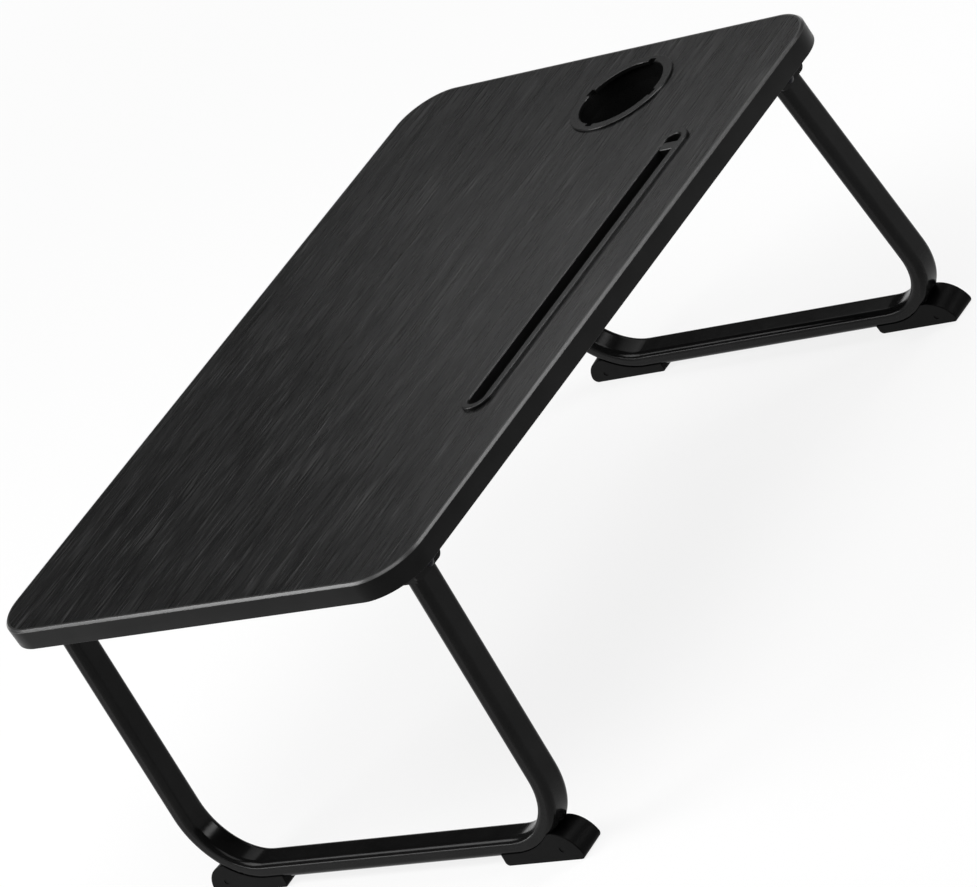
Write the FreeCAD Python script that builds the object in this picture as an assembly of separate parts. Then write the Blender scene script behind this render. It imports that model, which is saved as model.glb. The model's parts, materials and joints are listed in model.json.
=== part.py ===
import FreeCAD, Part
import math
import os

from FreeCAD import Vector

# Folding laptop table: a board on two U-shaped legs that fold flat under it.
# Millimetres, +Z up. X runs along the board, -Y is the user's side and +Y the rear.
# The origin is on the ground under the middle of the board, with the legs open.

# Board
board_length = 600.0
board_width = 400.0
board_thickness = 16.0
board_corner_radius = 38.0
table_height = 254.5
edge_band_thickness = 3.0
edge_round_top = 2.8
edge_round_bottom = 1.2
laminate_thickness = 0.8
underside_thickness = 0.6

# Leg tube, with its depth square to the plane of the leg
tube_depth = 22.0
tube_width = 14.0
tube_corner_radius = 5.0
tube_wall = 1.2
leg_bend_radius = 51.0
leg_splay_deg = 5.0
leg_side_inset = 26.0
hinge_end_inset = 47.3

# Feet
foot_depth = 23.0
foot_length = 74.0
foot_sole = 5.5
foot_lobe_radius = 21.0
foot_seat_gap = 0.05
foot_lip = 3.0
foot_toe_round = 4.0
foot_heel_round = 3.0
foot_edge_round = 0.6
foot_mark_radius = 2.0
foot_mark_depth = 0.4
foot_mark_inset = 17.0
foot_mark_rise = 2.5
fold_clearance = 0.5

# Foot screws
foot_screw_inset = 11.0
foot_screw_shank_radius = 1.5
foot_screw_head_radius = 3.0
foot_screw_head_height = 1.6
foot_screw_seat = 2.4
foot_screw_grip = 4.0
foot_screw_clearance = 0.3

# Hinge brackets, of pressed sheet
bracket_sheet = 2.0
bracket_side_clearance = 0.4
bracket_reach_in = 12.5
bracket_reach_out = 18.0
bracket_skirt = 4.0
bracket_corner_radius = 5.0
bracket_flange = 12.5
bracket_flange_corner = 3.0
stop_gap = 0.3

# Pivot rivets, set off each tube's middle so that a folded leg lies close, and their plugs
pivot_offset = 3.5
shoulder_rise = 6.0
rivet_radius = 2.5
rivet_head_radius = 3.6
rivet_head_height = 1.5
rivet_hole_clearance = 0.03
pivot_clearance = 0.06
plug_length = 24.0
plug_clearance = 0.15

# Bracket screws
bracket_screw_shank_radius = 1.75
bracket_screw_head_radius = 3.4
bracket_screw_head_height = 1.8
bracket_screw_length = 10.0
bracket_screw_inset = 6.0
bracket_screw_clearance = 0.2
pilot_hole_clearance = 0.05
pilot_hole_spare = 0.5

# Shape of every screw
screw_tip_length = 3.0
screw_tip_radius = 0.4
screw_head_round = 0.7
cross_recess_width = 0.9
cross_recess_reach = 1.9
cross_recess_depth = 1.0

# Cup holder
cup_end_inset = 62.5
cup_rear_inset = 151.0
cup_ring_opening = 34.5
cup_ring_lip = 3.7
cup_ring_lip_depth = 1.0
cup_ring_wall = 1.4
cup_ring_overhang = 2.4
cup_ring_height = 1.8
cup_ring_depth = 13.0
cup_ring_outer_round = 0.8
cup_ring_inner_round = 0.7
cup_hole_clearance = 0.2
cup_notch_count = 4
cup_notch_width = 7.0
cup_notch_depth = 3.2
cup_notch_turn_deg = 77.0
cup_groove_top = 5.0
cup_groove_height = 3.6
cup_groove_depth = 0.7
cup_rim_gap = 0.3
cup_depth = 45.0
cup_wall = 1.3
cup_base = 2.0
cup_side_clearance = 0.3
cup_taper = 4.4
cup_base_round = 6.0
cup_lug_width = 6.0
cup_lug_height = 3.2
cup_lug_clearance = 0.2
cup_lug_turn_deg = 45.0

# Tablet slot
slot_end_inset = 128.5
slot_rear_inset = 50.0
slot_length = 298.0
slot_width = 25.0
slot_lip = 5.5
slot_lip_height = 2.5
slot_lip_outer_round = 0.9
slot_lip_inner_round = 1.4
slot_wall = 1.5
slot_depth = 11.0
slot_floor = 1.6
slot_pocket_clearance = 0.3
slot_rib_inset = 13.0
slot_rib_length = 9.0
slot_rib_drop = 1.2

# Places that follow from the sizes above
board_top_z = table_height
board_under_z = board_top_z - board_thickness
core_bottom_z = board_under_z + underside_thickness
core_top_z = board_top_z - laminate_thickness
core_length = board_length - 2 * edge_band_thickness
core_width = board_width - 2 * edge_band_thickness
core_corner_radius = board_corner_radius - edge_band_thickness
splay = math.radians(leg_splay_deg)
leg_y = board_width / 2 - leg_side_inset
hinge_x = board_length / 2 - hinge_end_inset
hinge_drop = max(tube_depth, foot_depth) / 2 - pivot_offset + fold_clearance
hinge_z = board_under_z - hinge_drop
foot_drop = tube_width / 2 + foot_sole
leg_length = hinge_z / math.cos(splay) + pivot_offset * math.tan(splay) - foot_drop
cheek_inner_y = tube_width / 2 + bracket_side_clearance
cheek_outer_y = cheek_inner_y + bracket_sheet
cup_x = cup_end_inset - board_length / 2
cup_y = board_width / 2 - cup_rear_inset
cup_ring_bore = cup_ring_opening + cup_ring_lip
cup_ring_skirt_radius = cup_ring_bore + cup_ring_wall
cup_ring_radius = cup_ring_skirt_radius + cup_ring_overhang
slot_x = slot_end_inset + (slot_length - board_length) / 2
slot_y = board_width / 2 - slot_rear_inset
slot_opening_length = slot_length - 2 * slot_lip
slot_opening_width = slot_width - 2 * slot_lip
slot_trough_length = slot_opening_length + 2 * slot_wall
slot_trough_width = slot_opening_width + 2 * slot_wall

# Spare length of a cutting tool past the face that it leaves
overshoot = 1.0

# Two places this close are the same place
same_place = 1e-3

along_y = Vector(0, 1, 0)
along_z = Vector(0, 0, 1)
hinge_sides = {"right": 1, "left": -1}
hinge_ends = {"front": -1, "rear": 1}


def corner_arc(centre, radius, start_deg):
    """Quarter circle in the XY plane that starts at the given angle."""
    circle = Part.Circle(centre, along_z, radius)
    return Part.Arc(circle, math.radians(start_deg), math.radians(start_deg + 90)).toShape()


def rounded_wire(length, width, radius, z):
    """Closed outline of a rectangle with round corners, centred on the Z axis."""
    x = length / 2 - radius
    y = width / 2 - radius
    corners = [(x, y, 0), (-x, y, 90), (-x, -y, 180), (x, -y, 270)]
    arcs = [corner_arc(Vector(cx, cy, z), radius, start) for cx, cy, start in corners]
    edges = []
    for arc, following in zip(arcs, arcs[1:] + arcs[:1]):
        edges.append(arc)
        edges.append(Part.makeLine(arc.lastVertex().Point, following.firstVertex().Point))
    return Part.Wire(edges)


def rounded_plate(length, width, radius, bottom, top):
    """Plate with round corners between two heights."""
    return Part.Face(rounded_wire(length, width, radius, bottom)).extrude(Vector(0, 0, top - bottom))


def stadium(length, width, bottom, top):
    """Plate with half-round ends, centred on the tablet slot."""
    radius = width / 2
    reach = length / 2 - radius
    plate = Part.makeBox(2 * reach, width, top - bottom, Vector(slot_x - reach, slot_y - radius, bottom))
    for side in (-1, 1):
        centre = Vector(slot_x + side * reach, slot_y, bottom)
        plate = plate.fuse(Part.makeCylinder(radius, top - bottom, centre))
    return plate.removeSplitter()


def disc(radius, bottom, top):
    """Cylinder on the cup holder's axis."""
    return Part.makeCylinder(radius, top - bottom, Vector(cup_x, cup_y, bottom))


def revolved(points):
    """Solid of revolution about the Z axis from (radius, height) points."""
    outline = [Vector(radius, 0, z) for radius, z in points]
    face = Part.Face(Part.makePolygon(outline + outline[:1]))
    return face.revolve(Vector(0, 0, 0), along_z, 360)


def edges_at(shape, height, keep):
    """Edges of a shape that lie flat at one height and pass a test on their middle point."""
    chosen = []
    for edge in shape.Edges:
        box = edge.BoundBox
        middle = edge.valueAt((edge.FirstParameter + edge.LastParameter) / 2)
        if max(abs(box.ZMin - height), abs(box.ZMax - height)) < same_place and keep(middle):
            chosen.append(edge)
    return chosen


def on_side(shape, side):
    """Shape made for the right side, or turned about the Z axis to the left side."""
    placed = shape.copy()
    if side < 0:
        placed.rotate(Vector(0, 0, 0), along_z, 180)
    return placed


def open_leg(shape):
    """Shape made with the tube along -Z from the origin, set at the right hinge's open angle."""
    placed = shape.copy()
    placed.translate(Vector(pivot_offset, 0, 0))
    placed.rotate(Vector(0, 0, 0), along_y, -leg_splay_deg)
    placed.translate(Vector(hinge_x, 0, hinge_z))
    return placed


def screw(shank_radius, shank_length, head_radius, head_height):
    """Round-head screw along +Z with the head's seat at height 0, a cross recess and a pointed tip."""
    straight = shank_length - screw_tip_length
    body = Part.makeCylinder(shank_radius, straight)
    body = body.fuse(Part.makeCone(shank_radius, screw_tip_radius, screw_tip_length, Vector(0, 0, straight)))
    head = Part.makeCylinder(head_radius, head_height, Vector(0, 0, -head_height))
    rim = [edge for edge in head.Edges if abs(edge.BoundBox.ZMax + head_height) < same_place]
    head = head.makeFillet(screw_head_round, rim)
    arms = [(cross_recess_reach, cross_recess_width / 2), (cross_recess_width / 2, cross_recess_reach)]
    for x, y in arms:
        corner = Vector(-x, -y, -head_height - overshoot)
        head = head.cut(Part.makeBox(2 * x, 2 * y, cross_recess_depth + overshoot, corner))
    return body.fuse(head).removeSplitter()


def bracket_screw_places():
    """Points where bracket screws pass the board's underside, for every hinge."""
    reach_y = cheek_outer_y + bracket_flange / 2
    places = []
    for side in hinge_sides.values():
        for end in hinge_ends.values():
            for x in (bracket_reach_out - bracket_screw_inset, bracket_screw_inset - bracket_reach_in):
                for across in (-reach_y, reach_y):
                    places.append(Vector(side * (hinge_x + x), end * leg_y + across, board_under_z))
    return places


def pilot_holes():
    """Holes in the board for the bracket screws."""
    depth = bracket_screw_length - bracket_sheet + pilot_hole_spare
    radius = bracket_screw_shank_radius + pilot_hole_clearance
    start = Vector(0, 0, overshoot)
    return [Part.makeCylinder(radius, depth + overshoot, place - start) for place in bracket_screw_places()]


def board_cutouts():
    """Spaces in the board for the cup ring and the slot insert's trough."""
    cup_radius = cup_ring_skirt_radius + cup_hole_clearance
    cup = disc(cup_radius, board_under_z - overshoot, board_top_z + overshoot)
    gap = slot_pocket_clearance
    pocket = stadium(slot_trough_length + 2 * gap, slot_trough_width + 2 * gap,
                     board_top_z - slot_depth - gap, board_top_z + overshoot)
    return [cup, pocket]


def tabletop_core():
    plate = rounded_plate(core_length, core_width, core_corner_radius, core_bottom_z, core_top_z)
    return plate.cut(board_cutouts() + pilot_holes())


def top_laminate():
    plate = rounded_plate(core_length, core_width, core_corner_radius, core_top_z, board_top_z)
    return plate.cut(board_cutouts())


def underside_sheet():
    plate = rounded_plate(core_length, core_width, core_corner_radius, board_under_z, core_bottom_z)
    return plate.cut(board_cutouts() + pilot_holes())


def edge_band():
    band = rounded_plate(board_length, board_width, board_corner_radius, board_under_z, board_top_z)
    band = band.makeFillet(edge_round_top, edges_at(band, board_top_z, lambda middle: True))
    band = band.makeFillet(edge_round_bottom, edges_at(band, board_under_z, lambda middle: True))
    inside = rounded_plate(core_length, core_width, core_corner_radius,
                           board_under_z - overshoot, board_top_z + overshoot)
    return band.cut(inside)


def cup_places(turn_deg):
    """Angles of the cup holder's notches, or of its lugs, round the cup's axis."""
    return [turn_deg + 360.0 * index / cup_notch_count for index in range(cup_notch_count)]


def cup_block(inner, outer, width, bottom, top, angle):
    """Block that reaches out from the cup's axis at an angle, cut round at its outer end."""
    block = Part.makeBox(outer + overshoot - inner, width, top - bottom, Vector(inner, -width / 2, bottom))
    block = block.common(Part.makeCylinder(outer, top - bottom, Vector(0, 0, bottom)))
    block.rotate(Vector(0, 0, 0), along_z, angle)
    return block


def cup_ring():
    """Flange with a notched lip over the cup's rim, on a skirt whose groove takes the cup's lugs."""
    inner = cup_ring_opening
    bore = cup_ring_bore
    skirt = cup_ring_skirt_radius
    ring = revolved([(bore, -cup_ring_depth), (skirt, -cup_ring_depth), (skirt, 0),
                     (cup_ring_radius, 0), (cup_ring_radius, cup_ring_height), (inner, cup_ring_height),
                     (inner, -cup_ring_lip_depth), (bore, -cup_ring_lip_depth)])
    split = (inner + cup_ring_radius) / 2
    outer_rim = edges_at(ring, cup_ring_height, lambda middle: math.hypot(middle.x, middle.y) > split)
    ring = ring.makeFillet(cup_ring_outer_round, outer_rim)
    inner_rim = edges_at(ring, cup_ring_height, lambda middle: math.hypot(middle.x, middle.y) < split)
    ring = ring.makeFillet(cup_ring_inner_round, inner_rim)
    groove_bottom = -cup_groove_top - cup_groove_height
    groove_radius = bore + cup_groove_depth
    ring = ring.cut(Part.makeCylinder(groove_radius, cup_groove_height, Vector(0, 0, groove_bottom)))
    for angle in cup_places(cup_notch_turn_deg):
        notch = cup_block(inner / 2, inner + cup_notch_depth, cup_notch_width,
                          -cup_ring_lip_depth - overshoot, cup_ring_height + overshoot, angle)
        ring = ring.cut(notch)
    ring.translate(Vector(cup_x, cup_y, board_top_z))
    return ring


def cup():
    """Tapered cup that is pushed up under the ring's lip and held by its lugs in the groove."""
    outer = cup_ring_bore - cup_side_clearance
    inner = outer - cup_wall
    base_radius = outer - cup_taper
    shoulder = -cup_ring_depth
    rim = -cup_ring_lip_depth - cup_rim_gap
    shell = revolved([(0, -cup_depth), (base_radius, -cup_depth), (outer, shoulder),
                      (outer, rim), (0, rim)])
    shell = shell.makeFillet(cup_base_round, edges_at(shell, -cup_depth, lambda middle: True))
    floor = cup_base - cup_depth
    room = revolved([(0, floor), (base_radius - cup_wall, floor), (inner, shoulder),
                     (inner, overshoot), (0, overshoot)])
    room = room.makeFillet(cup_base_round - cup_wall, edges_at(room, floor, lambda middle: True))
    shell = shell.cut(room)
    lug_bottom = -cup_groove_top - cup_groove_height
    lug_radius = cup_ring_bore + cup_groove_depth - cup_lug_clearance
    for angle in cup_places(cup_notch_turn_deg + cup_lug_turn_deg):
        lug = cup_block(outer - cup_wall / 2, lug_radius, cup_lug_width, lug_bottom,
                        lug_bottom + cup_lug_height, angle)
        shell = shell.fuse(lug)
    shell = shell.removeSplitter()
    shell.translate(Vector(cup_x, cup_y, board_top_z))
    return shell


def tablet_slot_insert():
    """Raised lip round a trough, with a cross rib near its left end."""
    lip_top = board_top_z + slot_lip_height
    trough_bottom = board_top_z - slot_depth
    lip = stadium(slot_length, slot_width, board_top_z, lip_top)
    lip = lip.makeFillet(slot_lip_outer_round, edges_at(lip, lip_top, lambda middle: True))
    insert = lip.fuse(stadium(slot_trough_length, slot_trough_width, trough_bottom, board_top_z))
    insert = insert.removeSplitter()
    floor_z = trough_bottom + slot_floor
    insert = insert.cut(stadium(slot_opening_length, slot_opening_width, floor_z, lip_top + overshoot))
    half_width = slot_opening_width / 2
    reach_x = slot_opening_length / 2 + same_place
    reach_y = half_width + same_place

    def on_opening(middle):
        return abs(middle.x - slot_x) < reach_x and abs(middle.y - slot_y) < reach_y

    insert = insert.makeFillet(slot_lip_inner_round, edges_at(insert, lip_top, on_opening))
    rib_height = lip_top - slot_rib_drop - floor_z
    rib_start = slot_x - slot_length / 2 + slot_rib_inset
    rib_corner = Vector(rib_start, slot_y - half_width - slot_wall / 2, floor_z)
    rib = Part.makeBox(slot_rib_length, slot_opening_width + slot_wall, rib_height, rib_corner)
    rib_top = rib_corner.z + rib_height
    rib = rib.makeFillet(slot_lip_inner_round, [edge for edge in edges_at(rib, rib_top, lambda middle: True)
                                                if edge.BoundBox.XLength < same_place])
    return insert.fuse(rib).removeSplitter()


def leg_path(top):
    """Centre line of a leg in the YZ plane, from one upper end round to the other."""
    bend = leg_bend_radius
    corner = bend * (1 - math.sqrt(0.5))
    points = [Vector(0, leg_y, top), Vector(0, leg_y, bend - leg_length),
              Vector(0, leg_y - corner, corner - leg_length), Vector(0, leg_y - bend, -leg_length),
              Vector(0, bend - leg_y, -leg_length), Vector(0, corner - leg_y, corner - leg_length),
              Vector(0, -leg_y, bend - leg_length), Vector(0, -leg_y, top)]
    edges = [Part.makeLine(points[0], points[1]), Part.Arc(*points[1:4]).toShape(),
             Part.makeLine(points[3], points[4]), Part.Arc(*points[4:7]).toShape(),
             Part.makeLine(points[6], points[7])]
    return Part.Wire(edges)


def swept_leg(inset, top):
    """Solid of the tube's outer face, or of its bore when inset by the wall."""
    section = rounded_wire(tube_depth - 2 * inset, tube_width - 2 * inset, tube_corner_radius - inset, top)
    section.translate(Vector(0, leg_y, 0))
    return leg_path(top).makePipeShell([section], True, False)


def pivot_bar(radius):
    """Cylinder on the hinge axis through both sides of a leg."""
    reach = leg_y + tube_width
    return Part.makeCylinder(radius, 2 * reach, Vector(-pivot_offset, -reach, 0), along_y)


def round_top(shape):
    """Shape cut at its upper end so that it turns about the hinge axis clear of the board and the stop."""
    reach = leg_y + tube_width
    start = Vector(-tube_depth, -reach, -2 * leg_length)
    below = Part.makeBox(2 * tube_depth, 2 * reach, 2 * leg_length, start)
    shoulder = Part.makeBox(2 * tube_depth, 2 * reach, shoulder_rise, Vector(-pivot_offset, -reach, 0))
    shoulder = shoulder.common(pivot_bar(tube_depth / 2 + pivot_offset))
    return shape.common(below.fuse([pivot_bar(tube_depth / 2 - pivot_offset), shoulder]))


def foot_screw_y():
    """Distance of a foot's screw from the middle of the leg."""
    return leg_y + tube_width / 2 - foot_length + foot_screw_inset


def leg_tube():
    tube = swept_leg(0, tube_depth).cut(swept_leg(tube_wall, tube_depth + overshoot))
    tube = round_top(tube).cut(pivot_bar(rivet_radius + pivot_clearance))
    screw_hole = foot_screw_shank_radius + foot_screw_clearance / 2
    for end in hinge_ends.values():
        start = Vector(0, end * foot_screw_y(), -leg_length - tube_width)
        tube = tube.cut(Part.makeCylinder(screw_hole, tube_width, start))
    return tube


def tube_plug(end):
    """Plug that fills the upper end of a tube round the pivot rivet."""
    inset = tube_wall + plug_clearance
    section = rounded_wire(tube_depth - 2 * inset, tube_width - 2 * inset, tube_corner_radius - tube_wall, 0)
    plug = Part.Face(section).extrude(Vector(0, 0, plug_length + tube_depth))
    plug.translate(Vector(0, end * leg_y, -plug_length))
    return round_top(plug).cut(pivot_bar(rivet_radius + pivot_clearance))


def foot_lip_radius():
    """Radius about the bend's centre of a foot's lips, which rise past the tube's rounded corners."""
    return leg_bend_radius + tube_width / 2 - foot_lip


def foot_outline():
    """Side face of a foot in the YZ plane, on the leg's +Y side, running below the ground line."""
    bar_z = -leg_length
    toe_y = leg_y + tube_width / 2
    heel_y = toe_y - foot_length
    lobe_y = toe_y - foot_lobe_radius
    lobe_z = bar_z - foot_drop + foot_seat_gap
    bend_y = leg_y - leg_bend_radius
    bend_z = bar_z + leg_bend_radius
    bend_radius = foot_lip_radius()
    seat_z = bend_z - bend_radius
    below_z = lobe_z - foot_depth
    apart_y = lobe_y - bend_y
    apart_z = lobe_z - bend_z
    apart = math.hypot(apart_y, apart_z)
    along = (bend_radius ** 2 - foot_lobe_radius ** 2 + apart ** 2) / (2 * apart)
    across = math.sqrt(bend_radius ** 2 - along ** 2)
    meet = Vector(0, bend_y + (along * apart_y - across * apart_z) / apart,
                  bend_z + (along * apart_z + across * apart_y) / apart)
    seat_turn = math.atan2(meet.z - bend_z, meet.y - bend_y) / 2 - math.pi / 4
    seat_middle = Vector(0, bend_y + bend_radius * math.cos(seat_turn),
                         bend_z + bend_radius * math.sin(seat_turn))
    lobe_turn = math.atan2(meet.z - lobe_z, meet.y - lobe_y) / 2
    lobe_middle = Vector(0, lobe_y + foot_lobe_radius * math.cos(lobe_turn),
                         lobe_z + foot_lobe_radius * math.sin(lobe_turn))
    heel_low = Vector(0, heel_y, below_z)
    heel_high = Vector(0, heel_y, seat_z)
    seat_start = Vector(0, bend_y, seat_z)
    toe_high = Vector(0, toe_y, lobe_z)
    toe_low = Vector(0, toe_y, below_z)
    edges = [Part.makeLine(heel_low, heel_high), Part.makeLine(heel_high, seat_start),
             Part.Arc(seat_start, seat_middle, meet).toShape(),
             Part.Arc(meet, lobe_middle, toe_high).toShape(),
             Part.makeLine(toe_high, toe_low), Part.makeLine(toe_low, heel_low)]
    return Part.Face(Part.Wire(edges))


def foot():
    """Foot of the right leg's +Y side: a wedge that the bend beds in, with a rounded toe and a flat sole."""
    outline = foot_outline()
    outline.translate(Vector(-foot_depth / 2, 0, 0))
    wedge = open_leg(outline.extrude(Vector(foot_depth, 0, 0)))
    far = 2 * (hinge_x + leg_length)
    wedge = wedge.cut(Part.makeBox(far, far, far, Vector(-far / 2, -far / 2, -far)))
    middle_y = leg_y + tube_width / 2 - foot_length / 2
    toe_edge = [edge for edge in edges_at(wedge, 0, lambda middle: middle.y > middle_y)
                if edge.BoundBox.YLength < same_place]
    wedge = wedge.makeFillet(foot_toe_round, toe_edge)
    heel_edge = [edge for edge in edges_at(wedge, 0, lambda middle: middle.y < middle_y)
                 if edge.BoundBox.YLength < same_place]
    wedge = wedge.makeFillet(foot_heel_round, heel_edge)
    wedge = wedge.makeFillet(foot_edge_round, foot_side_edges(wedge))
    return wedge.cut([open_leg(tool) for tool in foot_tools()])


def foot_side_edges(wedge):
    """Edges round the two side faces of a foot, apart from those along its lips."""
    outward = Vector(math.cos(splay), 0, math.sin(splay))
    downward = Vector(math.sin(splay), 0, -math.cos(splay))
    tube_end = Vector(hinge_x, 0, hinge_z) + outward * pivot_offset
    bend = Vector(0, leg_y - leg_bend_radius, leg_length - leg_bend_radius)
    chosen = []
    for edge in wedge.Edges:
        span = edge.LastParameter - edge.FirstParameter
        points = [edge.valueAt(edge.FirstParameter + share * span) - tube_end for share in (0.0, 0.5, 1.0)]
        on_side_face = all(abs(abs(point.dot(outward)) - foot_depth / 2) < same_place for point in points)
        middle = points[1]
        reach = math.hypot(max(middle.y - bend.y, 0), middle.dot(downward) - bend.z)
        if on_side_face and abs(reach - foot_lip_radius()) > same_place:
            chosen.append(edge)
    return chosen


def foot_tools():
    """Bed of the tube, recess for the screw's head, its hole, and the round mark in each side face."""
    seat_z = -leg_length - tube_width / 2 - foot_seat_gap
    head_z = seat_z - foot_screw_seat
    start = Vector(0, foot_screw_y(), head_z - 2 * foot_sole)
    recess = Part.makeCylinder(foot_screw_head_radius + foot_screw_clearance, 2 * foot_sole, start)
    hole = Part.makeCylinder(foot_screw_shank_radius + foot_screw_clearance / 2, 2 * foot_drop, start)
    mark_y = leg_y + tube_width / 2 - foot_mark_inset
    mark_z = -leg_length - tube_width / 2 + foot_mark_rise
    tools = [swept_leg(-foot_seat_gap, tube_depth), recess, hole]
    for face in (-1, 1):
        centre = Vector(face * (foot_depth / 2 - foot_mark_depth), mark_y, mark_z)
        tools.append(Part.makeCylinder(foot_mark_radius, foot_depth, centre, Vector(face, 0, 0)))
    return tools


def foot_screw():
    """Screw of the foot on the right leg's +Y side, driven up into the bar."""
    length = foot_screw_seat + foot_seat_gap + tube_wall + foot_screw_grip
    fastener = screw(foot_screw_shank_radius, length, foot_screw_head_radius, foot_screw_head_height)
    seat_z = -leg_length - tube_width / 2 - foot_seat_gap - foot_screw_seat
    fastener.translate(Vector(0, foot_screw_y(), seat_z))
    return open_leg(fastener)


def mirrored_end(shape, end):
    """Shape made for the +Y side of a leg, or its mirror image for the -Y side."""
    return shape if end > 0 else shape.mirror(Vector(0, 0, 0), along_y)


def hinge_bracket():
    """Hat-shaped bracket of the right hinge, centred on Y, with a stop behind the open leg."""
    length = bracket_reach_in + bracket_reach_out
    drop = hinge_drop + bracket_skirt
    bottom = board_under_z - drop
    start_x = hinge_x - bracket_reach_in
    cheek = Part.makeBox(length, bracket_sheet, drop, Vector(start_x, cheek_inner_y, bottom))
    lower_corners = [edge for edge in edges_along(cheek, along_y)
                     if edge.BoundBox.ZMax < bottom + same_place]
    cheek = cheek.makeFillet(bracket_corner_radius, lower_corners)
    flange = Part.makeBox(length, bracket_flange, bracket_sheet,
                          Vector(start_x, cheek_outer_y, board_under_z - bracket_sheet))
    outer_corners = [edge for edge in edges_along(flange, along_z)
                     if edge.BoundBox.YMin > cheek_outer_y + same_place]
    flange = flange.makeFillet(bracket_flange_corner, outer_corners)
    half = cheek.fuse(flange)
    web = Part.makeBox(bracket_sheet, 2 * cheek_inner_y, 2 * drop,
                       Vector(tube_depth / 2 + stop_gap, -cheek_inner_y, -drop))
    envelope = Part.makeBox(length, 2 * cheek_inner_y, drop, Vector(start_x, -cheek_inner_y, bottom))
    web = open_leg(web).common(envelope)
    bracket = half.fuse([half.mirror(Vector(0, 0, 0), along_y), web]).removeSplitter()
    hole = Part.makeCylinder(rivet_radius + rivet_hole_clearance, 4 * cheek_outer_y,
                             Vector(hinge_x, -2 * cheek_outer_y, hinge_z), along_y)
    return bracket.cut(hole)


def edges_along(shape, direction):
    """Straight edges of a shape along a direction."""
    return [edge for edge in shape.Edges
            if abs(abs(edge.tangentAt(edge.FirstParameter).dot(direction)) - 1) < same_place]


def drilled_bracket(side, end):
    """Bracket at its own place, with its screw holes."""
    bracket = hinge_bracket()
    bracket.translate(Vector(0, side * end * leg_y, 0))
    bracket = on_side(bracket, side)
    radius = bracket_screw_shank_radius + bracket_screw_clearance
    return bracket.cut([Part.makeCylinder(radius, 2 * hinge_drop, place - Vector(0, 0, hinge_drop))
                        for place in bracket_screw_places()])


def pivot_rivet(side, end):
    """Rivet through a bracket's cheeks, with a domed head on each."""
    shank = Part.makeCylinder(rivet_radius, 2 * cheek_outer_y, Vector(0, -cheek_outer_y, 0), along_y)
    dome_radius = (rivet_head_radius ** 2 + rivet_head_height ** 2) / (2 * rivet_head_height)
    sink = dome_radius - rivet_head_height
    for face in (-1, 1):
        ball = Part.makeSphere(dome_radius, Vector(0, face * (cheek_outer_y - sink), 0))
        seat = Part.makeCylinder(dome_radius, 2 * dome_radius, Vector(0, face * cheek_outer_y, 0),
                                 Vector(0, face, 0))
        shank = shank.fuse(ball.common(seat))
    shank = shank.removeSplitter()
    shank.translate(Vector(side * hinge_x, end * leg_y, hinge_z))
    return shank


def bracket_screws():
    """All bracket screws, driven up through the flanges into the board."""
    solids = []
    for place in bracket_screw_places():
        fastener = screw(bracket_screw_shank_radius, bracket_screw_length, bracket_screw_head_radius,
                         bracket_screw_head_height)
        fastener.translate(place - Vector(0, 0, bracket_sheet))
        solids.append(fastener)
    return Part.makeCompound(solids)


def all_pieces():
    """Every piece of the table by its node name."""
    pieces = {
        "tabletop_core": tabletop_core(),
        "top_laminate": top_laminate(),
        "underside_sheet": underside_sheet(),
        "edge_band": edge_band(),
        "cup_ring": cup_ring(),
        "cup": cup(),
        "tablet_slot_insert": tablet_slot_insert(),
        "bracket_screws": bracket_screws(),
    }
    tube = open_leg(leg_tube())
    shoe = foot()
    shoe_screw = foot_screw()
    for side_name, side in hinge_sides.items():
        pieces[f"leg_tube_{side_name}"] = on_side(tube, side)
        screws = []
        for end_name, end in hinge_ends.items():
            place = f"{side_name}_{end_name}"
            pieces[f"hinge_bracket_{place}"] = drilled_bracket(side, end)
            pieces[f"pivot_rivet_{place}"] = pivot_rivet(side, end)
            pieces[f"tube_plug_{place}"] = on_side(open_leg(tube_plug(side * end)), side)
            pieces[f"foot_{place}"] = on_side(mirrored_end(shoe, side * end), side)
            screws.append(on_side(mirrored_end(shoe_screw, side * end), side))
        pieces[f"foot_screws_{side_name}"] = Part.makeCompound(screws)
    return pieces


os.makedirs("parts", exist_ok=True)
for node, shape in all_pieces().items():
    shape.exportStep(f"parts/{node}.step")
    print(f"{node:28s} solids {len(shape.Solids):2d}, volume {shape.Volume:10.1f}, valid {shape.isValid()}")
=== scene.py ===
import json
import math

import bpy
from mathutils import Matrix, Vector


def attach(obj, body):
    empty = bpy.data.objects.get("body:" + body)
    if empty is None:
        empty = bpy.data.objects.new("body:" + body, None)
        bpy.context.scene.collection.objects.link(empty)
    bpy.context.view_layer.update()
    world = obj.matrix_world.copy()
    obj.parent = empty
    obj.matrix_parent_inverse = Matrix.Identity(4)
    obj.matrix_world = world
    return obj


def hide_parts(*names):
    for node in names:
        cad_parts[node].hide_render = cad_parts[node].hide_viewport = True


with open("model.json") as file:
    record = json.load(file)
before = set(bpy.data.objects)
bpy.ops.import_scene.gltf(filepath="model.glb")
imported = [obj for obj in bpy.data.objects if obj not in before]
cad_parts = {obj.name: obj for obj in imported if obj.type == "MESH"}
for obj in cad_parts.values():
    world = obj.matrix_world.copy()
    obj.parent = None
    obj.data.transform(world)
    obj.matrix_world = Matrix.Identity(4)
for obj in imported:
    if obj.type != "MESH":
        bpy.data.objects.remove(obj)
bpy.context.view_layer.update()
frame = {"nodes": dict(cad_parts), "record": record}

# Sizes of the table in metres, as its source has them
MM = 0.001
BOARD_LENGTH = 600 * MM
BOARD_WIDTH = 400 * MM
BOARD_CORNER = 38 * MM
BOARD_TOP = 254.5 * MM
BOARD_UNDER = 238.5 * MM
BAND_THICKNESS = 3 * MM

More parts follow.
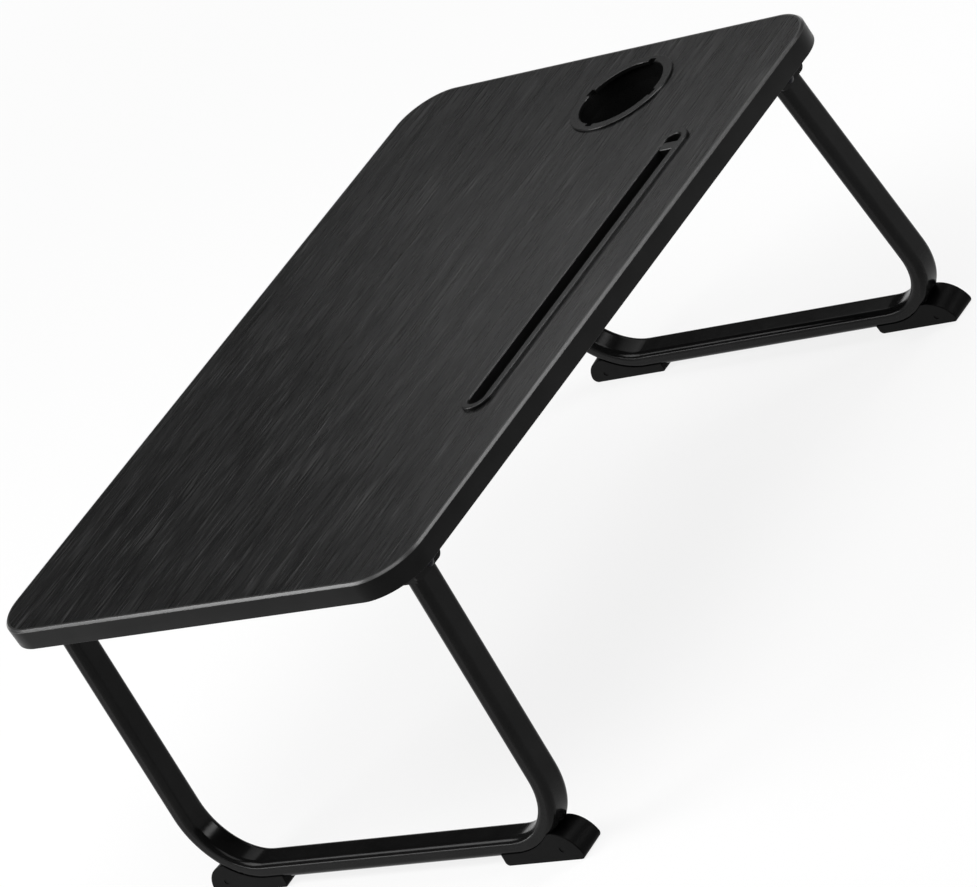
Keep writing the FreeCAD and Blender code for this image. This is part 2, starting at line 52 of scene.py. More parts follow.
HINGE_X = 252.7 * MM
HINGE_Z = 230 * MM
PIVOT_OFFSET = 3.5 * MM
LEG_Y = 174 * MM
LEG_SPLAY = math.radians(5)
CHEEK_OUTER = 9.4 * MM

BRACKET_SCREW_ACROSS = 15.65 * MM
BRACKET_SCREW_OUT = 12 * MM
BRACKET_SCREW_IN = 6.5 * MM
BRACKET_SCREW_Z = 236.5 * MM

FOOT_SCREW_Y = 118 * MM
FOOT_SCREW_ABOVE_GROUND = 3.05 * MM

SIDES = {"right": 1, "left": -1}
ENDS = {"front": -1, "rear": 1}

# Trim of the edge band: its bevel, the softened corners, and the last of the side that the buffing and the painted
# highlight reach
BAND_BEVEL = 1.5 * MM
BAND_EASE = 0.4 * MM
BUFF_AND_HIGHLIGHT_BELOW_BEVEL = 0.2 * MM

# Fineness of the banding, the screws and the rivets, and the bend past which an edge of theirs stays crisp
BOARD_CORNER_STEPS = 28
BEVEL_STEPS = 1
EASE_STEPS = 4
HEAD_SIDES = 32
HEAD_RINGS = 6
SCREW_SHANK_SIDES = 20
RIVET_SHANK_SIDES = 24
CRISP_BEND = math.radians(32)
SEAM_CLOSED_WITHIN = 0.001 * MM

# Numbers of the sockets on colour mixes and random values that share a name with others there
MIX_SHARE, MIX_FIRST, MIX_SECOND = 0, 6, 7
MIX_COLOUR = 2
RANDOM_LOW, RANDOM_HIGH, RANDOM_SEED = 2, 3, 8
RANDOM_FLOAT = 1


def rgb(hex_code):
    """Linear colour of an sRGB hex value."""
    channels = [int(hex_code[i:i + 2], 16) / 255 for i in (0, 2, 4)]
    linear = [c / 12.92 if c <= 0.04045 else ((c + 0.055) / 1.055) ** 2.4 for c in channels]
    return (*linear, 1.0)


def add(tree, kind, inputs=None, **settings):
    """Add a node with its settings: inputs given as sockets are linked, several from a list, and others are set."""
    node = tree.nodes.new(kind)
    for name, value in settings.items():
        setattr(node, name, value)
    for name, value in (inputs or {}).items():
        for source in value if isinstance(value, list) else [value]:
            if isinstance(source, bpy.types.NodeSocket):
                tree.links.new(source, node.inputs[name])
            else:
                node.inputs[name].default_value = source
    return node


def blank_finish(name):
    """New material with an empty node tree, and the Object coordinates that its patterns lie on."""
    made = bpy.data.materials.new(name)
    made.use_nodes = True
    made.node_tree.nodes.clear()
    place = add(made.node_tree, "ShaderNodeTexCoord").outputs["Object"]
    return made, made.node_tree, place


def surface(tree, inputs):
    """Close a finish with its shader."""
    shader = add(tree, "ShaderNodeBsdfPrincipled", inputs)
    add(tree, "ShaderNodeOutputMaterial", {"Surface": shader.outputs["BSDF"]})


def grain(tree, place, length, width, lean_deg=0.0, shift=0.0, detail=2.0):
    """Marks along the board's length, about half this long and wide, that may lean or lie further to one side."""
    laid = add(tree, "ShaderNodeMapping", {"Vector": place, "Location": (0, shift, 0),
                                           "Rotation": (0, 0, math.radians(lean_deg)),
                                           "Scale": (length, width, width)}, vector_type="TEXTURE")
    marks = add(tree, "ShaderNodeTexNoise", {"Vector": laid.outputs["Vector"], "Scale": 1.0, "Detail": detail,
                                             "Distortion": 0.1})
    return marks.outputs["Fac"]


def woodgrain_laminate():
    """Melamine paper, printed and pressed as black wood under a satin plate.

    The eye sees pale pores, thin and as long as a finger, in clusters and each with a painted shadow beside it,
    over slow bands and small clouds. The pores are drawn wider than printed ones, so that they show.
    """
    made, tree, place = blank_finish("black_woodgrain_melamine")
    bands = grain(tree, place, length=200 * MM, width=14 * MM, lean_deg=1.5)
    clouds = grain(tree, place, length=26 * MM, width=9 * MM, lean_deg=2.0)
    clusters = grain(tree, place, length=60 * MM, width=14 * MM, lean_deg=2.0)
    pores = []
    # The second pattern lies 0.9 mm aside: it is painted as the shadow beside each pressed pore, and it also sets the
    # roughness
    for beside in (0.0, 0.9 * MM):
        straight = grain(tree, place, length=60 * MM, width=1.2 * MM, shift=beside)
        leaning = grain(tree, place, length=38 * MM, width=1.4 * MM, lean_deg=2.5, shift=beside)
        pores.append(add(tree, "ShaderNodeMath", {0: straight, 1: leaning}, operation="MAXIMUM").outputs[0])
    pale_pores, pore_shadow_and_roughness = pores
    gathered = add(tree, "ShaderNodeMapRange", {"Value": clusters, "From Min": 0.38, "From Max": 0.62,
                                                "To Min": 0.25})
    pale = add(tree, "ShaderNodeMapRange", {"Value": pale_pores, "From Min": 0.57, "From Max": 0.67})
    pale_here = add(tree, "ShaderNodeMath", {0: pale.outputs[0], 1: gathered.outputs[0]}, operation="MULTIPLY")
    dark = add(tree, "ShaderNodeMapRange", {"Value": pore_shadow_and_roughness, "From Min": 0.56, "From Max": 0.64})
    pore_shadow_here = add(tree, "ShaderNodeMath", {0: dark.outputs[0], 1: gathered.outputs[0]}, operation="MULTIPLY")
    cloudy = add(tree, "ShaderNodeMath", {0: clouds, 1: 0.35, 2: bands}, operation="MULTIPLY_ADD")
    slow = add(tree, "ShaderNodeMapRange", {"Value": cloudy.outputs[0], "From Min": 0.47, "From Max": 0.88})
    ground = add(tree, "ShaderNodeMix", {MIX_SHARE: slow.outputs[0], MIX_FIRST: rgb("0c0c0c"),
                                         MIX_SECOND: rgb("1a1a1a")}, data_type="RGBA")
    # Painted shadow: a near-black line beside each pale pore, standing in for the shade of the pressed ridge
    ground_with_pore_shadow = add(tree, "ShaderNodeMix", {MIX_SHARE: pore_shadow_here.outputs[0], MIX_FIRST: ground.outputs[MIX_COLOUR],
                                         MIX_SECOND: rgb("020202")}, data_type="RGBA")
    printed = add(tree, "ShaderNodeMix", {MIX_SHARE: pale_here.outputs[0], MIX_FIRST: ground_with_pore_shadow.outputs[MIX_COLOUR],
                                          MIX_SECOND: rgb("383838")}, data_type="RGBA")
    gloss = add(tree, "ShaderNodeMapRange", {"Value": pore_shadow_and_roughness, "From Min": 0.4, "From Max": 0.7,
                                             "To Min": 0.25, "To Max": 0.34})
    pressed = add(tree, "ShaderNodeBump", {"Height": pale_pores, "Strength": 0.35, "Distance": 0.5 * MM})
    surface(tree, {"Base Color": printed.outputs[MIX_COLOUR], "Roughness": gloss.outputs[0],
                   "Normal": pressed.outputs["Normal"], "IOR": 1.5, "Specular IOR Level": 0.35})
    return made


def pressed_fibreboard():
    """Medium-density fibreboard, sawn: matt brown fibre with short pale and dark hairs, drawn coarse to show."""
    made, tree, place = blank_finish("sawn_fibreboard")
    hairs = grain(tree, place, length=5 * MM, width=0.8 * MM, detail=3.0)
    mixed = add(tree, "ShaderNodeMix", {MIX_SHARE: hairs, MIX_FIRST: rgb("6f5439"), MIX_SECOND: rgb("b08e68")},
                data_type="RGBA")
    raised = add(tree, "ShaderNodeBump", {"Height": hairs, "Strength": 0.4, "Distance": 0.2 * MM})
    surface(tree, {"Base Color": mixed.outputs[MIX_COLOUR], "Roughness": 0.9, "Normal": raised.outputs["Normal"]})
    return made


def extruded_band():
    """PVC edging, extruded and ironed on.

    The eye sees a satin side with faint draw lines and slow cloudy patches, and a bevel that is trimmed and buffed
    to a shine, with a paler painted highlight along it. The draw lines are drawn coarse, so that they show.
    """
    line_length = 90 * MM
    line_height = 1.6 * MM
    patch_size = 32 * MM
    made, tree, place = blank_finish("extruded_black_pvc")
    drawn = add(tree, "ShaderNodeMapping", {"Vector": place, "Scale": (line_length, line_length, line_height)},
                vector_type="TEXTURE")
    lines = add(tree, "ShaderNodeTexNoise", {"Vector": drawn.outputs["Vector"], "Scale": 1.0, "Detail": 3.0})
    patches = add(tree, "ShaderNodeTexNoise", {"Vector": place, "Scale": 1 / patch_size, "Detail": 2.0})
    shade = add(tree, "ShaderNodeMapRange", {"Value": patches.outputs["Fac"], "From Min": 0.3, "From Max": 0.7})
    colour = add(tree, "ShaderNodeMix", {MIX_SHARE: shade.outputs[0], MIX_FIRST: rgb("0c0c0c"),
                                         MIX_SECOND: rgb("141414")}, data_type="RGBA")
    gloss = add(tree, "ShaderNodeMapRange", {"Value": lines.outputs["Fac"], "From Min": 0.3, "From Max": 0.7,
                                             "To Min": 0.30, "To Max": 0.40})
    ridged = add(tree, "ShaderNodeBump", {"Height": lines.outputs["Fac"], "Strength": 0.12, "Distance": 0.1 * MM})
    height = add(tree, "ShaderNodeSeparateXYZ", {"Vector": place}).outputs["Z"]
    bevel_foot = BOARD_TOP - BAND_BEVEL
    buffed_and_painted_highlight = add(tree, "ShaderNodeMapRange", {"Value": height, "From Min": bevel_foot - BUFF_AND_HIGHLIGHT_BELOW_BEVEL,
                                              "From Max": bevel_foot})
    # Painted highlight: the bevel gets a pale grey base, so that its bright line stays even where no lamp shines in
    # it; the coat gives its real shine
    painted_highlight_colour = add(tree, "ShaderNodeMix", {MIX_SHARE: buffed_and_painted_highlight.outputs[0], MIX_FIRST: colour.outputs[MIX_COLOUR],
                                          MIX_SECOND: rgb("303030")}, data_type="RGBA")
    surface(tree, {"Base Color": painted_highlight_colour.outputs[MIX_COLOUR], "Roughness": gloss.outputs[0],
                   "Normal": ridged.outputs["Normal"], "IOR": 1.5, "Specular IOR Level": 0.075,
                   "Coat Weight": buffed_and_painted_highlight.outputs[0], "Coat Roughness": 0.3})
    return made


def gritted(name, deep, pale, grit, relief, roughness, level):
    """Black skin of a moulded or painted piece: slow changes of tone, and grit or ripple of this size and height.

    A mould's grit of a few tenths of a millimetre is drawn at about one, so that it shows.
    """
    cloud_size = 30 * MM
    made, tree, place = blank_finish(name)
    cloud = add(tree, "ShaderNodeTexNoise", {"Vector": place, "Scale": 1 / cloud_size, "Detail": 2.0})
    grains = add(tree, "ShaderNodeTexNoise", {"Vector": place, "Scale": 1 / grit, "Detail": 2.0})
    shade = add(tree, "ShaderNodeMapRange", {"Value": cloud.outputs["Fac"], "From Min": 0.3, "From Max": 0.7})
    colour = add(tree, "ShaderNodeMix", {MIX_SHARE: shade.outputs[0], MIX_FIRST: rgb(deep), MIX_SECOND: rgb(pale)},
                 data_type="RGBA")
    gloss = add(tree, "ShaderNodeMapRange", {"Value": grains.outputs["Fac"], "From Min": 0.25, "From Max": 0.75,
                                             "To Min": 0.85 * roughness, "To Max": 1.15 * roughness})
    raised = add(tree, "ShaderNodeBump", {"Height": grains.outputs["Fac"], "Strength": 0.3, "Distance": relief})
    surface(tree, {"Base Color": colour.outputs[MIX_COLOUR], "Roughness": gloss.outputs[0],
                   "Normal": raised.outputs["Normal"], "IOR": 1.5, "Specular IOR Level": level})
    return made


def black_zinc_steel():
    """Zinc-plated steel, blackened: a dark grey metal with faint marks of its die, drawn coarse to show."""
    mark_size = 0.8 * MM
    made, tree, place = blank_finish("black_zinc_steel")
    marks = add(tree, "ShaderNodeTexNoise", {"Vector": place, "Scale": 1 / mark_size, "Detail": 2.0})
    colour = add(tree, "ShaderNodeMix", {MIX_SHARE: marks.outputs["Fac"], MIX_FIRST: rgb("141416"),
                                         MIX_SECOND: rgb("202024")}, data_type="RGBA")
    gloss = add(tree, "ShaderNodeMapRange", {"Value": marks.outputs["Fac"], "From Min": 0.3, "From Max": 0.7,
                                             "To Min": 0.28, "To Max": 0.42})
    surface(tree, {"Base Color": colour.outputs[MIX_COLOUR], "Roughness": gloss.outputs[0], "Metallic": 1.0})
    return made


finishes = {
    "woodgrain_laminate": woodgrain_laminate(),
    "fibreboard": pressed_fibreboard(),
    "edge_band_pvc": extruded_band(),
    # Resin-soaked paper under the board: matt, with a fine tooth
    "underside_film": gritted("matt_black_backing_paper", "101010", "161616", grit=1.5 * MM, relief=0.05 * MM,
                              roughness=0.6, level=0.3),
    # ABS from a polished mould: satin, almost smooth
    "cup_plastic": gritted("moulded_black_abs", "0c0c0c", "121212", grit=0.9 * MM, relief=0.02 * MM,
                           roughness=0.3, level=0.5),
    # Polypropylene from a sparked mould: a soft satin, a little duller than the cup
    "slot_plastic": gritted("moulded_black_polypropylene", "0a0a0a", "101010", grit=0.9 * MM, relief=0.03 * MM,
                            roughness=0.34, level=0.45),
    # Baked enamel on steel tube: a deep gloss with the slow ripple of sprayed paint
    "leg_paint": gritted("gloss_black_enamel", "0e0e0e", "141414", grit=6.0 * MM, relief=0.02 * MM,
                         roughness=0.18, level=0.085),
    # Electrocoat on pressed sheet: thin satin black
    "bracket_paint": gritted("satin_black_electrocoat", "040404", "070707", grit=1.0 * MM, relief=0.03 * MM,
                             roughness=0.35, level=0.08),
    # Nylon plugs: dull and slightly rough
    "plug_nylon": gritted("moulded_black_nylon", "0c0c0c", "121212", grit=0.9 * MM, relief=0.04 * MM,
                          roughness=0.45, level=0.35),
    # Soft polypropylene feet from a sparked mould: satin with a fine grit
    "foot_plastic": gritted("sparked_black_polypropylene", "040404", "080808", grit=0.9 * MM, relief=0.05 * MM,
                            roughness=0.4, level=0.05),
    "rivet_steel": black_zinc_steel(),
}
finishes["screw_steel"] = finishes["rivet_steel"]

for part in frame["record"]["subparts"]:
    cad_mesh = frame["nodes"][part["node"]].data
    cad_mesh.materials.clear()
    cad_mesh.materials.append(finishes[part["material_slot"]])


def piece_tree(name, sizes):
    """Geometry Nodes tree that takes a geometry and named sizes, and the sockets that give them."""
    tree = bpy.data.node_groups.new(name, "GeometryNodeTree")
    tree.is_modifier = True
    tree.interface.new_socket("Geometry", in_out="INPUT", socket_type="NodeSocketGeometry")
    for size in sizes:
        kind = "NodeSocketInt" if size == "Seed" else "NodeSocketFloat"
        tree.interface.new_socket(size, in_out="INPUT", socket_type=kind)
    tree.interface.new_socket("Geometry", in_out="OUTPUT", socket_type="NodeSocketGeometry")
    return tree, add(tree, "NodeGroupInput").outputs


def close_tree(tree, geometry, finish):
    """Shade the geometry smooth but for its crisp edges, make it plain, give it its finish and put it out."""
    smooth = add(tree, "GeometryNodeSetShadeSmooth", {"Geometry": geometry})
    bend = add(tree, "GeometryNodeInputMeshEdgeAngle").outputs["Unsigned Angle"]
    crisp = add(tree, "FunctionNodeCompare", {0: bend, 1: CRISP_BEND}, operation="GREATER_THAN")
    creased = add(tree, "GeometryNodeSetShadeSmooth", {"Geometry": smooth.outputs[0], "Selection": crisp.outputs[0],
                                                       "Shade Smooth": False}, domain="EDGE")
    plain = add(tree, "GeometryNodeRealizeInstances", {"Geometry": creased.outputs[0]})
    done = add(tree, "GeometryNodeSetMaterial", {"Geometry": plain.outputs[0], "Material": finish})
    add(tree, "NodeGroupOutput", {"Geometry": done.outputs[0]})


def grown_piece(name, tree, sizes, places, body, nodes):
    """Piece that a tree makes at these places from these sizes, as a plain mesh that stands for CAD nodes."""
    mesh = bpy.data.meshes.new(name)
    mesh.from_pydata(places, [], [])
    piece = bpy.data.objects.new(name, mesh)
    bpy.context.scene.collection.objects.link(piece)
    grower = piece.modifiers.new(name, "NODES")
    grower.node_group = tree
    for socket in tree.interface.items_tree:
        if socket.name in sizes:
            grower[socket.identifier] = sizes[socket.name]
    grown = bpy.data.meshes.new_from_object(piece.evaluated_get(bpy.context.evaluated_depsgraph_get()))
    piece.modifiers.remove(grower)
    piece.data = grown
    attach(piece, body)
    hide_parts(*nodes)


def edge_banding():
    """Edging swept round the board's outline, with a bevel above and an eased corner below."""
    sizes = {"Length": BOARD_LENGTH, "Width": BOARD_WIDTH, "Corner Radius": BOARD_CORNER,
             "Thickness": BAND_THICKNESS, "Height": BOARD_TOP - BOARD_UNDER, "Under": BOARD_UNDER,
             "Bevel": BAND_BEVEL, "Ease": BAND_EASE}
    tree, size = piece_tree("edge_banding", sizes)
    outline = add(tree, "GeometryNodeCurvePrimitiveQuadrilateral",
                  {"Width": size["Length"], "Height": size["Width"]})
    path = add(tree, "GeometryNodeFilletCurve", {"Curve": outline.outputs[0], "Count": BOARD_CORNER_STEPS,
                                                 "Radius": size["Corner Radius"]}, mode="POLY")
    level = add(tree, "GeometryNodeSetCurveNormal", {"Curve": path.outputs[0]}, mode="Z_UP")
    block = add(tree, "GeometryNodeCurvePrimitiveQuadrilateral",
                {"Width": size["Thickness"], "Height": size["Height"]})
    corner = add(tree, "ShaderNodeSeparateXYZ", {0: add(tree, "GeometryNodeInputPosition").outputs[0]})
    outside = add(tree, "FunctionNodeCompare", {0: corner.outputs["X"], 1: 0.0}, operation="GREATER_THAN")
    above = add(tree, "FunctionNodeCompare", {0: corner.outputs["Y"], 1: 0.0}, operation="GREATER_THAN")
    upper = add(tree, "FunctionNodeBooleanMath", {0: outside.outputs[0], 1: above.outputs[0]}, operation="AND")
    slope = add(tree, "ShaderNodeMath", {0: upper.outputs[0], 1: size["Bevel"]}, operation="MULTIPLY")
    bevelled = add(tree, "GeometryNodeFilletCurve", {"Curve": block.outputs[0], "Count": BEVEL_STEPS,
                                                     "Radius": slope.outputs[0]}, mode="POLY")
    softness = add(tree, "ShaderNodeMath", {0: outside.outputs[0], 1: size["Ease"]}, operation="MULTIPLY")
    section = add(tree, "GeometryNodeFilletCurve", {"Curve": bevelled.outputs[0], "Count": EASE_STEPS,
                                                    "Radius": softness.outputs[0]}, mode="POLY")
    inward = add(tree, "ShaderNodeMath", {0: size["Thickness"], 1: -0.5}, operation="MULTIPLY")
    middle = add(tree, "ShaderNodeMath", {0: size["Height"], 1: 0.5, 2: size["Under"]}, operation="MULTIPLY_ADD")
    down = add(tree, "ShaderNodeMath", {0: middle.outputs[0], 1: -1.0}, operation="MULTIPLY")
    shift = add(tree, "ShaderNodeCombineXYZ", {"X": inward.outputs[0], "Y": down.outputs[0]})
    # The sweep lays a section's Y axis downwards, so the section is turned over first
    set_in = add(tree, "GeometryNodeTransform", {"Geometry": section.outputs[0], "Translation": shift.outputs[0],
                                                 "Rotation": (math.pi, 0.0, 0.0)})
    swept = add(tree, "GeometryNodeCurveToMesh", {"Curve": level.outputs[0], "Profile Curve": set_in.outputs[0]})
    joined = add(tree, "GeometryNodeMergeByDistance", {"Geometry": swept.outputs[0],
                                                       "Distance": SEAM_CLOSED_WITHIN})
    close_tree(tree, joined.outputs[0], finishes["edge_band_pvc"])
    grown_piece("edge_banding", tree, sizes, [], "tabletop", ["edge_band"])


def domed_head(tree, size):
    """Head of a screw or rivet below the origin: a short rim, and a dome that falls away as a parabola."""
    disc = add(tree, "GeometryNodeMeshCylinder",
               {"Vertices": HEAD_SIDES, "Fill Segments": HEAD_RINGS, "Radius": size["Head Radius"],
                "Depth": size["Rim"]}, fill_type="TRIANGLE_FAN")
    place = add(tree, "GeometryNodeInputPosition").outputs[0]
    height = add(tree, "ShaderNodeSeparateXYZ", {0: place}).outputs["Z"]
    low = add(tree, "FunctionNodeCompare", {0: height, 1: 0.0}, operation="LESS_THAN")
    level = add(tree, "ShaderNodeVectorMath", {0: place, 1: (1.0, 1.0, 0.0)}, operation="MULTIPLY")
    out = add(tree, "ShaderNodeVectorMath", {0: level.outputs[0]}, operation="LENGTH").outputs["Value"]
    share = add(tree, "ShaderNodeMath", {0: out, 1: size["Head Radius"]}, operation="DIVIDE")
    fall = add(tree, "ShaderNodeMath", {0: share.outputs[0], 1: share.outputs[0], 2: -1.0}, operation="MULTIPLY_ADD")
    swell = add(tree, "ShaderNodeMath", {0: size["Head Height"], 1: size["Rim"]}, operation="SUBTRACT")
    drop = add(tree, "ShaderNodeMath", {0: fall.outputs[0], 1: swell.outputs[0]}, operation="MULTIPLY")
    push = add(tree, "ShaderNodeCombineXYZ", {"Z": drop.outputs[0]})
    domed = add(tree, "GeometryNodeSetPosition", {"Geometry": disc.outputs["Mesh"], "Selection": low.outputs[0],
                                                  "Offset": push.outputs[0]})
    half = add(tree, "ShaderNodeMath", {0: size["Rim"], 1: -0.5}, operation="MULTIPLY")
    seat = add(tree, "ShaderNodeCombineXYZ", {"Z": half.outputs[0]})
    return add(tree, "GeometryNodeTransform", {"Geometry": domed.outputs[0], "Translation": seat.outputs[0]})


def driven_screws(node, sizes, places, body):
    """Screws driven up at these places, each with a cross recess that stopped at its own turn."""
    name = f"driven_{node}"
    tree, size = piece_tree(name, sizes)
    head = domed_head(tree, size)
    deep = add(tree, "ShaderNodeMath", {0: size["Head Height"], 1: -1.0}, operation="MULTIPLY")
    mouth = add(tree, "ShaderNodeCombineXYZ", {"Z": deep.outputs[0]})
    bar = add(tree, "ShaderNodeCombineXYZ", {"X": size["Recess Length"], "Y": size["Recess Width"],
                                             "Z": size["Recess Height"]})
    blade = add(tree, "GeometryNodeMeshCube", {"Size": bar.outputs[0]})
    along = add(tree, "GeometryNodeTransform", {"Geometry": blade.outputs[0], "Translation": mouth.outputs[0]})
    across = add(tree, "GeometryNodeTransform", {"Geometry": along.outputs[0], "Rotation": (0.0, 0.0, math.pi / 2)})
    recessed = add(tree, "GeometryNodeMeshBoolean",
                   {"Mesh 1": head.outputs[0], "Mesh 2": [along.outputs[0], across.outputs[0]]},
                   operation="DIFFERENCE")
    shank = add(tree, "GeometryNodeMeshCone", {"Vertices": SCREW_SHANK_SIDES, "Radius Top": size["Tip Radius"],
                                               "Radius Bottom": size["Shank Radius"],
                                               "Depth": size["Shank Length"]})
    screw = add(tree, "GeometryNodeJoinGeometry", {"Geometry": [recessed.outputs[0], shank.outputs["Mesh"]]})
    lean = add(tree, "ShaderNodeCombineXYZ", {"Y": size["Lean"]})
    driven = add(tree, "GeometryNodeInstanceOnPoints", {"Points": size["Geometry"], "Instance": screw.outputs[0],
                                                        "Rotation": lean.outputs[0]})
    turn = add(tree, "FunctionNodeRandomValue", {RANDOM_LOW: 0.0, RANDOM_HIGH: math.pi, RANDOM_SEED: size["Seed"]},
               data_type="FLOAT")
    spin = add(tree, "ShaderNodeCombineXYZ", {"Z": turn.outputs[RANDOM_FLOAT]})
    stopped = add(tree, "GeometryNodeRotateInstances", {"Instances": driven.outputs[0], "Rotation": spin.outputs[0],
                                                        "Local Space": True})
    close_tree(tree, stopped.outputs[0], finishes["screw_steel"])
    grown_piece(name, tree, sizes, places, body, [node])


def all_screws():
    """Screws of the brackets, and of the feet on each leg."""
    shared = {"Tip Radius": 0.4 * MM, "Recess Length": 3.8 * MM, "Recess Width": 0.9 * MM, "Recess Height": 2 * MM}
    bracket_sizes = {"Head Radius": 3.4 * MM, "Head Height": 1.8 * MM, "Rim": 0.9 * MM, "Shank Radius": 1.75 * MM,
                     "Shank Length": 10 * MM, "Lean": 0.0, "Seed": 3, **shared}
    places = []
    for side in SIDES.values():
        for end in ENDS.values():
            for out in (HINGE_X + BRACKET_SCREW_OUT, HINGE_X - BRACKET_SCREW_IN):
                for across in (-BRACKET_SCREW_ACROSS, BRACKET_SCREW_ACROSS):
                    places.append((side * out, end * LEG_Y + across, BRACKET_SCREW_Z))
    driven_screws("bracket_screws", bracket_sizes, places, "tabletop")
    down_leg = (HINGE_Z + PIVOT_OFFSET * math.sin(LEG_SPLAY)) / math.cos(LEG_SPLAY) - FOOT_SCREW_ABOVE_GROUND
    foot_out = HINGE_X + PIVOT_OFFSET * math.cos(LEG_SPLAY) + down_leg * math.sin(LEG_SPLAY)
    foot_up = FOOT_SCREW_ABOVE_GROUND * math.cos(LEG_SPLAY)
    for name, side in SIDES.items():
        foot_sizes = {"Head Radius": 3 * MM, "Head Height": 1.6 * MM, "Rim": 0.8 * MM, "Shank Radius": 1.5 * MM,
                      "Shank Length": 7.65 * MM, "Lean": -side * LEG_SPLAY, "Seed": 5, **shared}
        places = [(side * foot_out, end * FOOT_SCREW_Y, foot_up) for end in ENDS.values()]
        driven_screws(f"foot_screws_{name}", foot_sizes, places, f"leg_{name}")


def pivot_rivets():
    """Rivets through the brackets' cheeks, each with a shank and two domed heads."""
    sizes = {"Head Radius": 3.6 * MM, "Head Height": 1.5 * MM, "Rim": 0.3 * MM, "Shank Radius": 2.5 * MM,
             "Grip": 2 * CHEEK_OUTER}
    tree, size = piece_tree("pivot_rivets", sizes)
    head = domed_head(tree, size)
    half = add(tree, "ShaderNodeMath", {0: size["Grip"], 1: -0.5}, operation="MULTIPLY")
    end = add(tree, "ShaderNodeCombineXYZ", {"Z": half.outputs[0]})
    low = add(tree, "GeometryNodeTransform", {"Geometry": head.outputs[0], "Translation": end.outputs[0]})
    high = add(tree, "GeometryNodeTransform", {"Geometry": low.outputs[0], "Rotation": (math.pi, 0.0, 0.0)})
    shank = add(tree, "GeometryNodeMeshCylinder", {"Vertices": RIVET_SHANK_SIDES, "Radius": size["Shank Radius"],
                                                   "Depth": size["Grip"]})
    rivet = add(tree, "GeometryNodeJoinGeometry", {"Geometry": [low.outputs[0], high.outputs[0],
                                                                shank.outputs["Mesh"]]})
    set_through = add(tree, "GeometryNodeInstanceOnPoints",
                      {"Points": size["Geometry"], "Instance": rivet.outputs[0], "Rotation": (math.pi / 2, 0.0, 0.0)})
    close_tree(tree, set_through.outputs[0], finishes["rivet_steel"])
    corners = [(side, end) for side in SIDES for end in ENDS]
    places = [(SIDES[side] * HINGE_X, ENDS[end] * LEG_Y, HINGE_Z) for side, end in corners]
    nodes = [f"pivot_rivet_{side}_{end}" for side, end in corners]
    grown_piece("pivot_rivets", tree, sizes, places, "tabletop", nodes)


edge_banding()
all_screws()
pivot_rivets()

# Camera: it stands off the rear right corner, looks down and is rolled, as the photograph is
CAMERA_PLACE = Vector((2.4965, 2.9982, 1.8331))
CAMERA_AIM = Vector((0.0282, 0.0289, 0.1603))
CAMERA_ROLL = math.radians(-34.855)
CAMERA_LENS = 226.22
CAMERA_REACH = 100.0
SENSOR_WIDTH = 36.0

camera = bpy.data.objects.new("camera", bpy.data.cameras.new("camera"))
bpy.context.scene.collection.objects.link(camera)
upright = (CAMERA_AIM - CAMERA_PLACE).to_track_quat("-Z", "Y").to_matrix()
turned = upright @ Matrix.Rotation(CAMERA_ROLL, 3, "Z")
camera.matrix_world = Matrix.Translation(CAMERA_PLACE) @ turned.to_4x4()
camera.data.lens = CAMERA_LENS
camera.data.sensor_width = SENSOR_WIDTH
camera.data.clip_end = CAMERA_REACH
bpy.context.scene.camera = camera

# Studio: the pale wall's fade by height of gaze, and the floor's size and its fade to white by distance in metres
WALL_FADES_FROM, WALL_FADES_TO = 0.02, 0.08
WALL_WHITE, ROOM_GREY = 1.0, 0.03
FLOOR_REACH = 14.0
FLOOR_FADES_FROM, FLOOR_FADES_TO = 0.5, 2.5
WHITE_NEAR, WHITE_FAR = 0.85, 1.0


def dim_studio():
    """Dim grey room: a low pale wall at the horizon, so the floor has no dark end, and grey above it."""
    world = bpy.data.worlds.new("dim_studio")
    world.use_nodes = True
    tree = world.node_tree
    tree.nodes.clear()
    direction = add(tree, "ShaderNodeTexCoord").outputs["Generated"]
    height = add(tree, "ShaderNodeSeparateXYZ", {"Vector": direction}).outputs["Z"]
    wall = add(tree, "ShaderNodeMapRange", {"Value": height, "From Min": WALL_FADES_FROM, "From Max": WALL_FADES_TO,
                                            "To Min": WALL_WHITE, "To Max": ROOM_GREY})
    background = add(tree, "ShaderNodeBackground", {"Color": wall.outputs[0], "Strength": 1.0})
    add(tree, "ShaderNodeOutputWorld", {"Surface": background.outputs["Background"]})
    bpy.context.scene.world = world


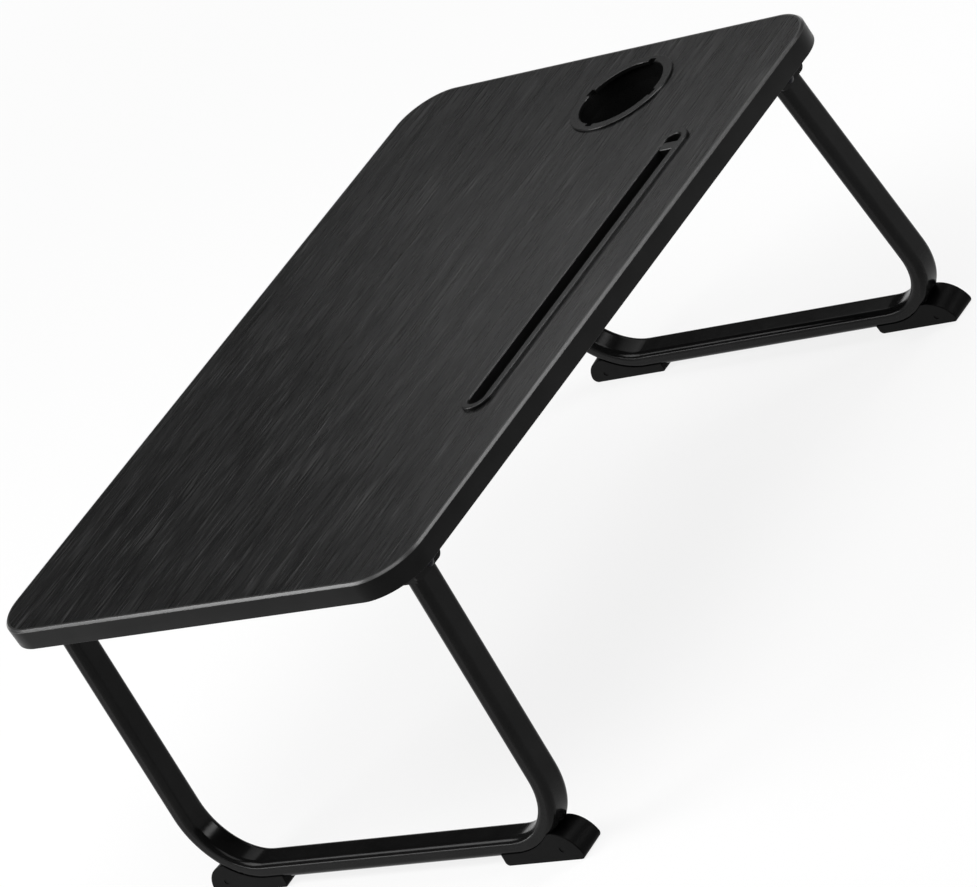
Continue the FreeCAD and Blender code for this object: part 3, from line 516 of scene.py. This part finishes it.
def white_floor():
    """Plain white paper under the feet: it takes the table's shadow, and shows mostly white, far off wholly so."""
    corners = [(x * FLOOR_REACH, y * FLOOR_REACH, 0) for x, y in ((-1, -1), (1, -1), (1, 1), (-1, 1))]
    mesh = bpy.data.meshes.new("floor")
    mesh.from_pydata(corners, [], [(0, 1, 2, 3)])
    floor = bpy.data.objects.new("floor", mesh)
    bpy.context.scene.collection.objects.link(floor)
    made, tree, place = blank_finish("white_paper_floor")
    paper = add(tree, "ShaderNodeBsdfDiffuse", {"Color": rgb("f7f7f7")})
    white = add(tree, "ShaderNodeEmission", {"Color": rgb("ffffff"), "Strength": 1.0})
    ray = add(tree, "ShaderNodeLightPath")
    seen = add(tree, "ShaderNodeMath", {0: ray.outputs["Is Camera Ray"], 1: ray.outputs["Is Glossy Ray"]},
               operation="MAXIMUM")
    shown = add(tree, "ShaderNodeMath", {0: seen.outputs[0], 1: ray.outputs["Is Transmission Ray"]},
                operation="MAXIMUM")
    far = add(tree, "ShaderNodeVectorMath", {0: place}, operation="LENGTH")
    fade = add(tree, "ShaderNodeMapRange", {"Value": far.outputs["Value"], "From Min": FLOOR_FADES_FROM,
                                            "From Max": FLOOR_FADES_TO, "To Min": WHITE_NEAR, "To Max": WHITE_FAR})
    share = add(tree, "ShaderNodeMath", {0: shown.outputs[0], 1: fade.outputs[0]}, operation="MULTIPLY")
    both = add(tree, "ShaderNodeMixShader", {0: share.outputs[0], 1: paper.outputs[0], 2: white.outputs[0]})
    add(tree, "ShaderNodeOutputMaterial", {"Surface": both.outputs[0]})
    mesh.materials.append(made)


def softbox(name, place, aim, width, height, power):
    """Large soft lamp that faces a point and isn't seen itself."""
    lamp = bpy.data.lights.new(name, "AREA")
    lamp.shape = "RECTANGLE"
    lamp.size = width
    lamp.size_y = height
    lamp.energy = power
    holder = bpy.data.objects.new(name, lamp)
    bpy.context.scene.collection.objects.link(holder)
    holder.visible_camera = False
    place = Vector(place)
    turn = (Vector(aim) - place).to_track_quat("-Z", "Y").to_matrix().to_4x4()
    holder.matrix_world = Matrix.Translation(place) @ turn


dim_studio()
white_floor()
BOARD_MIDDLE = (0, 0, 0.25)
RIGHT_LEG_MIDDLE = (0.27, 0, 0.15)
LEGS_MIDDLE = (0, 0, 0.14)
softbox("overhead_softbox", (0.6, 0.35, 2.3), BOARD_MIDDLE, width=1.6, height=1.6, power=30.0)
softbox("left_softbox", (-0.95, 0.9, 1.75), BOARD_MIDDLE, width=1.0, height=0.75, power=12.0)
softbox("key_softbox", (1.05, -1.3, 1.7), RIGHT_LEG_MIDDLE, width=1.2, height=1.0, power=30.0)
softbox("high_panel", (-1.346, -0.777, 1.51), BOARD_MIDDLE, width=1.3, height=0.92, power=4.0)
softbox("low_strip", (-0.95, 1.4, 0.6), BOARD_MIDDLE, width=0.35, height=0.35, power=4.5)
softbox("floor_strip", (1.56, -1.54, 0.14), LEGS_MIDDLE, width=1.0, height=0.22, power=8.0)

bpy.context.scene.view_settings.view_transform = "Standard"
